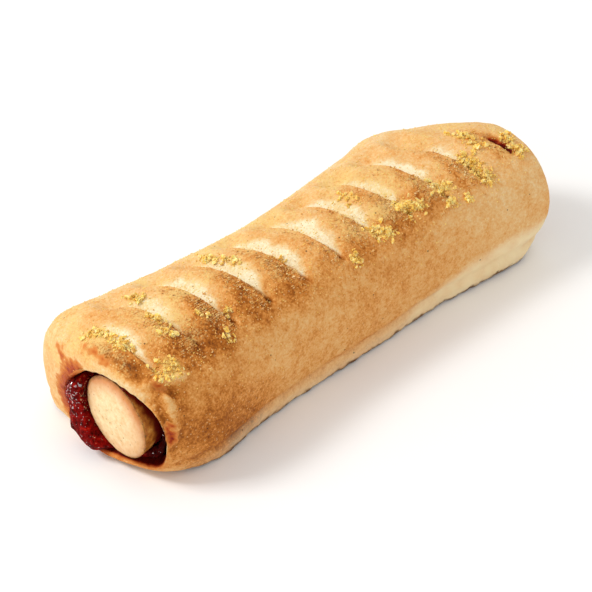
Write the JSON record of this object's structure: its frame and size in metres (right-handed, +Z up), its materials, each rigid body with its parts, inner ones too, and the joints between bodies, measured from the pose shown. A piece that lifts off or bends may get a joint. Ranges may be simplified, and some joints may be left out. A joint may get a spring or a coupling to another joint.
{
  "type": "sausage roll",
  "caption": "Sausage roll: a soft bread dough tube with slashes and crumbs on top, baked round a pale sausage in red sauce that shows at its open ends.",
  "frame": {"origin": "bottom centre of the whole roll's box, on the surface that the roll lies on", "axes": "+X along the roll, away from the end with the torn mouth; +Z up; +Y to the roll's left, its wider side"},
  "size_m": [0.1696, 0.0628, 0.0444],
  "materials": {
    "crust": "baked bread crust, golden brown, matt",
    "red_sauce": "thick red sauce, glossy",
    "sausage_meat": "pale cooked sausage, slightly shiny"
  },
  "bodies": {
    "root": {"dough": "crust", "sauce": "red_sauce", "sausage": "sausage_meat"}
  },
  "joints": []
}
